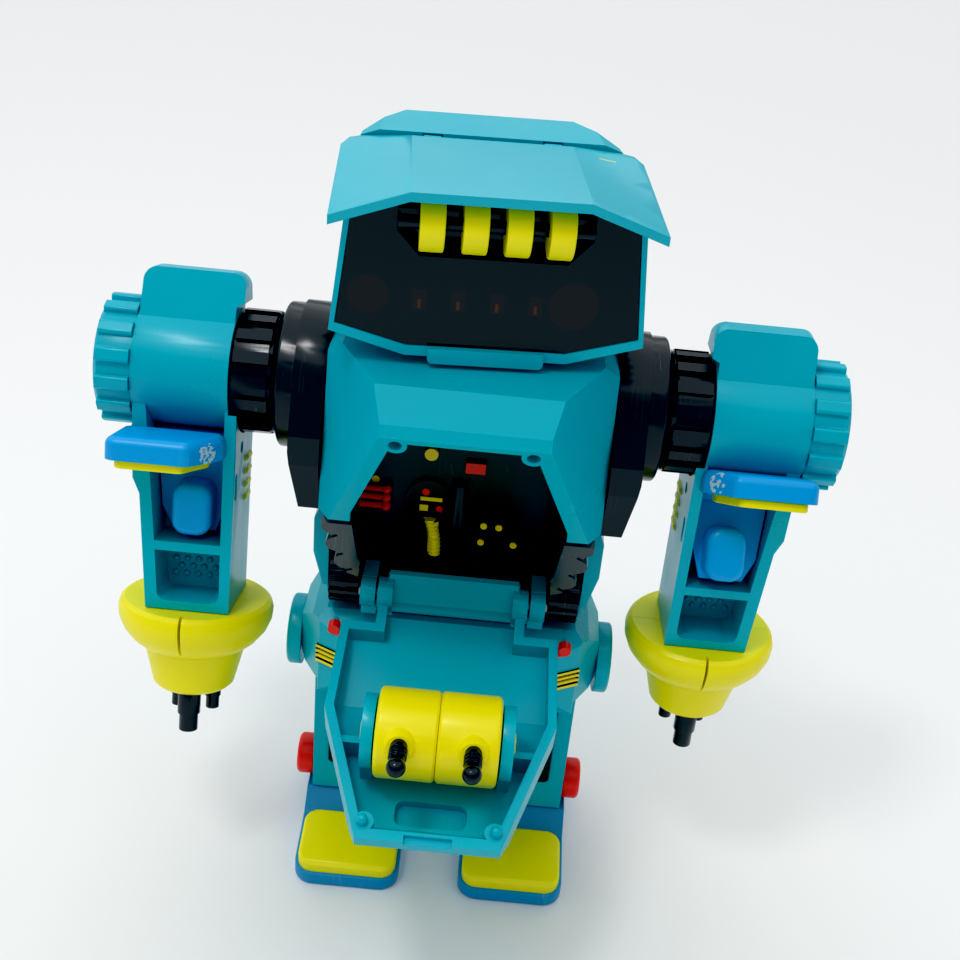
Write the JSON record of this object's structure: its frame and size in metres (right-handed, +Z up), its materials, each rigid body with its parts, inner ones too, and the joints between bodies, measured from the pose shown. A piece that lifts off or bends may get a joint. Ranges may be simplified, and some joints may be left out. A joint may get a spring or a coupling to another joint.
{
  "type": "toy robot",
  "caption": "Standing toy robot with a folding chest hatch, hinged visor, turning head and waist, swinging arms with turning cuffs, and hinged legs and feet.",
  "frame": {"origin": "on the floor, under the centre of the bounding box", "axes": "+Z up, the robot faces -Y, its left side is +X"},
  "size_m": [0.183, 0.1062, 0.2062],
  "materials": {
    "teal_plastic": "satin moulded",
    "black_plastic": "gloss moulded",
    "yellow_plastic": "satin moulded",
    "blue_plastic": "satin moulded",
    "red_plastic": "satin moulded",
    "textured_black": "grained",
    "smoked_window": "polished smoked",
    "steel": "plain"
  },
  "bodies": {
    "pelvis": {"pelvis_front_shell": "teal_plastic", "pelvis_rear_shell": "teal_plastic", "pelvis_vents": "black_plastic", "hip_axle": "steel", "hip_caps": "teal_plastic", "waist_post": "black_plastic"},
    "torso": {"chest_front_shell": "teal_plastic", "chest_rear_shell": "teal_plastic", "cockpit_liner": "black_plastic", "cockpit_side_panels": "black_plastic", "waist_core": "black_plastic", "hatch_pin": "steel", "left_shoulder_pod": "black_plastic", "right_shoulder_pod": "black_plastic", "shoulder_axles": "black_plastic", "chest_screws": "steel"},
    "head": {"face_frame": "teal_plastic", "head_rear_shell": "teal_plastic", "face_window": "smoked_window", "instrument_panel": "black_plastic", "roller_shaft": "black_plastic", "neck_post": "black_plastic"},
    "visor": {"visor": "teal_plastic"},
    "rollers": {"brow_rollers": "yellow_plastic"},
    "hatch": {"hatch_tray": "teal_plastic"},
    "turret": {"turret_left_half": "yellow_plastic", "turret_right_half": "yellow_plastic", "turret_barrels": "black_plastic"},
    "left_arm": {"left_shoulder_collar": "black_plastic", "left_arm_barrel": "teal_plastic", "left_arm_end_cap": "teal_plastic", "left_forearm_channel": "teal_plastic", "left_forearm_rear_shell": "teal_plastic"},
    "left_lever": {"left_lever": "blue_plastic", "left_lever_pad": "yellow_plastic"},
    "left_cuff": {"left_cuff_front": "yellow_plastic", "left_cuff_rear": "yellow_plastic", "left_cuff_barrels": "black_plastic"},
    "left_leg": {"left_leg_inner_shell": "teal_plastic", "left_leg_outer_shell": "teal_plastic", "left_leg_pad": "textured_black", "left_ankle_knob": "red_plastic"},
    "left_foot": {"left_shoe": "blue_plastic", "left_toe_cap": "yellow_plastic"},
    "right_arm": {"right_shoulder_collar": "black_plastic", "right_arm_barrel": "teal_plastic", "right_arm_end_cap": "teal_plastic", "right_forearm_channel": "teal_plastic", "right_forearm_rear_shell": "teal_plastic"},
    "right_lever": {"right_lever": "blue_plastic", "right_lever_pad": "yellow_plastic"},
    "right_cuff": {"right_cuff_front": "yellow_plastic", "right_cuff_rear": "yellow_plastic", "right_cuff_barrels": "black_plastic"},
    "right_leg": {"right_leg_inner_shell": "teal_plastic", "right_leg_outer_shell": "teal_plastic", "right_leg_pad": "textured_black", "right_ankle_knob": "red_plastic"},
    "right_foot": {"right_shoe": "blue_plastic", "right_toe_cap": "yellow_plastic"}
  },
  "joints": [
    {"name": "waist_turn", "type": "hinge", "parent": "pelvis", "child": "torso", "pos_m": [0, 0.02895, 0.084], "axis": [0, 0, 1], "range_deg": [-15, 15]},
    {"name": "neck_turn", "type": "hinge", "parent": "torso", "child": "head", "pos_m": [0, 0.02895, 0.164], "axis": [0, 0, 1], "range_deg": [-90, 90]},
    {"name": "visor_hinge", "type": "hinge", "parent": "head", "child": "visor", "pos_m": [-0.00048, 0.03443, 0.2042], "axis": [-0.9962, -0.0872, 0], "range_deg": [0, 55]},
    {"name": "roller_spin", "type": "hinge", "parent": "head", "child": "rollers", "pos_m": [0.00248, 0.00066, 0.1962], "axis": [-0.9962, -0.0872, 0], "continuous": true},
    {"name": "hatch_hinge", "type": "hinge", "parent": "torso", "child": "hatch", "pos_m": [0, 0.01125, 0.0918], "axis": [-1, 0, 0], "range_deg": [0, 84]},
    {"name": "turret_spin", "type": "hinge", "parent": "hatch", "child": "turret", "pos_m": [0, -0.03026, 0.08121], "axis": [-1, 0, 0], "range_deg": [-35, 70]},
    {"name": "left_shoulder", "type": "hinge", "parent": "torso", "child": "left_arm", "pos_m": [0.053, 0.02895, 0.143], "axis": [-1, 0, 0], "continuous": true},
    {"name": "left_lever_rock", "type": "hinge", "parent": "left_arm", "child": "left_lever", "pos_m": [0.07, 0.02364, 0.12433], "axis": [-1, 0, 0], "range_deg": [-22, 0]},
    {"name": "left_cuff_turn", "type": "hinge", "parent": "left_arm", "child": "left_cuff", "pos_m": [0.067, 0.0247, 0.0822], "axis": [0, 0.0698, 0.9976], "continuous": true},
    {"name": "left_hip", "type": "hinge", "parent": "pelvis", "child": "left_leg", "pos_m": [0.024, 0.02895, 0.0645], "axis": [-1, 0, 0], "range_deg": [-20, 18]},
    {"name": "left_ankle", "type": "hinge", "parent": "left_leg", "child": "left_foot", "pos_m": [0.024, 0.02795, 0.02], "axis": [-1, 0, 0], "range_deg": [-6, 6]},
    {"name": "right_shoulder", "type": "hinge", "parent": "torso", "child": "right_arm", "pos_m": [-0.053, 0.02895, 0.143], "axis": [-1, 0, 0], "continuous": true},
    {"name": "right_lever_rock", "type": "hinge", "parent": "right_arm", "child": "right_lever", "pos_m": [-0.07, 0.02017, 0.12568], "axis": [-1, 0, 0], "range_deg": [0, 22]},
    {"name": "right_cuff_turn", "type": "hinge", "parent": "right_arm", "child": "right_cuff", "pos_m": [-0.067, 0.01318, 0.08413], "axis": [0, 0.2588, 0.9659], "continuous": true},
    {"name": "right_hip", "type": "hinge", "parent": "pelvis", "child": "right_leg", "pos_m": [-0.024, 0.02895, 0.0645], "axis": [-1, 0, 0], "range_deg": [-20, 18]},
    {"name": "right_ankle", "type": "hinge", "parent": "right_leg", "child": "right_foot", "pos_m": [-0.024, 0.02795, 0.02], "axis": [-1, 0, 0], "range_deg": [-6, 6]}
  ]
}
